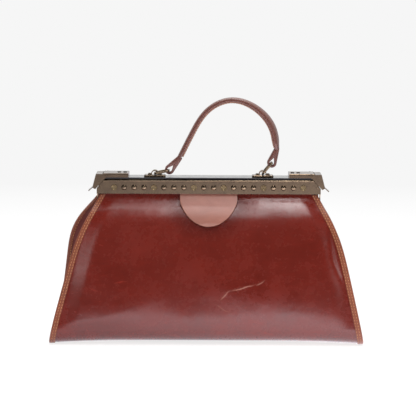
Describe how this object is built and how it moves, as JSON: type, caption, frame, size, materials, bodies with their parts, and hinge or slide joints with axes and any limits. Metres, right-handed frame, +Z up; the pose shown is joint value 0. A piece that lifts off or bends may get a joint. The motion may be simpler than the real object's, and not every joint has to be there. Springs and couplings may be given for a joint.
{
  "type": "frame handbag",
  "caption": "Leather handbag with a hinged metal frame mouth, flip-up end latches, a half-round front tab and an arched top handle on wire rings.",
  "frame": {"origin": "on the ground under the middle of the bag", "axes": "+X along the bag's length to the viewer's right, -Y to the front with the half-round tab, +Z up"},
  "size_m": [0.3764, 0.1286, 0.2922],
  "materials": {
    "body_leather": "smooth semi-gloss",
    "binding_leather": "smooth, stitched",
    "handle_leather": "smooth, stitched",
    "suede_lining": "napped",
    "base_board": "covered board",
    "felt_core": "felt",
    "antique_brass": "antiqued",
    "black_enamel": "gloss",
    "spring_steel": "bright"
  },
  "bodies": {
    "root": {"body_wrap": "body_leather", "left_gusset": "body_leather", "right_gusset": "body_leather", "left_binding": "binding_leather", "right_binding": "binding_leather", "body_lining": "suede_lining", "left_gusset_lining": "suede_lining", "right_gusset_lining": "suede_lining", "base_board": "base_board", "front_tab": "body_leather", "left_hinge_rivet": "antique_brass", "right_hinge_rivet": "antique_brass", "left_hinge_washers": "antique_brass", "right_hinge_washers": "antique_brass"},
    "front_jaw": {"front_channel": "antique_brass", "front_strip": "antique_brass", "front_dome_studs": "antique_brass", "front_ring_rivets": "antique_brass", "front_end_rivets": "antique_brass"},
    "rear_jaw": {"rear_channel": "antique_brass", "rear_strip": "antique_brass", "rear_dome_studs": "antique_brass", "rear_ring_rivets": "antique_brass", "rear_end_rivets": "antique_brass", "top_plate": "black_enamel", "plate_rivets": "antique_brass", "handle_rivets": "antique_brass", "left_housing": "antique_brass", "left_housing_rivets": "antique_brass", "left_claw_pin": "antique_brass", "left_claw_spring": "spring_steel", "left_handle_plate": "antique_brass", "left_bridge_loop": "antique_brass", "right_housing": "antique_brass", "right_housing_rivets": "antique_brass", "right_claw_pin": "antique_brass", "right_claw_spring": "spring_steel", "right_handle_plate": "antique_brass", "right_bridge_loop": "antique_brass"},
    "left_latch": {"left_claw": "antique_brass"},
    "right_latch": {"right_claw": "antique_brass"},
    "left_link": {"left_ring": "antique_brass"},
    "right_link": {"right_ring": "antique_brass"},
    "handle": {"handle_strap": "handle_leather", "handle_core": "felt_core", "handle_lining": "handle_leather"}
  },
  "joints": [
    {"name": "rear_frame_hinge", "type": "hinge", "parent": "root", "child": "rear_jaw", "pos_m": [0, 0, 0.14], "axis": [-1, 0, 0], "range_deg": [0, 38], "deforming": ["body_wrap", "left_gusset", "right_gusset", "left_binding", "right_binding", "body_lining", "left_gusset_lining", "right_gusset_lining"]},
    {"name": "front_frame_hinge", "type": "hinge", "parent": "root", "child": "front_jaw", "pos_m": [0, 0, 0.14], "axis": [1, 0, 0], "range_deg": [0, 38], "deforming": ["front_tab"]},
    {"name": "left_latch_pivot", "type": "hinge", "parent": "rear_jaw", "child": "left_latch", "pos_m": [-0.1228, 0, 0.1991], "axis": [0, 1, 0], "range_deg": [0, 65], "stiffness_Nm_per_rad": 0.02, "springref_deg": -17.19, "deforming": ["left_claw_spring"]},
    {"name": "right_latch_pivot", "type": "hinge", "parent": "rear_jaw", "child": "right_latch", "pos_m": [0.1228, 0, 0.1991], "axis": [0, -1, 0], "range_deg": [0, 65], "stiffness_Nm_per_rad": 0.02, "springref_deg": -17.19, "deforming": ["right_claw_spring"]},
    {"name": "left_ring_swing", "type": "hinge", "parent": "rear_jaw", "child": "left_link", "pos_m": [-0.065, 0, 0.2006], "axis": [0, -1, 0], "range_deg": [0, 67]},
    {"name": "right_ring_swing", "type": "hinge", "parent": "rear_jaw", "child": "right_link", "pos_m": [0.065, 0, 0.2006], "axis": [0, -1, 0], "range_deg": [0, 43]},
    {"name": "handle_pivot", "type": "hinge", "parent": "left_link", "child": "handle", "pos_m": [-0.04831, 0, 0.20384], "axis": [0, -1, 0], "range_deg": [-72, 0]}
  ],
  "couplings": [
    {"joint": "front_frame_hinge", "follows": "rear_frame_hinge", "ratio": 1},
    {"joint": "right_ring_swing", "follows": "left_ring_swing", "ratio": 0.635},
    {"joint": "handle_pivot", "follows": "left_ring_swing", "ratio": -1.07}
  ]
}
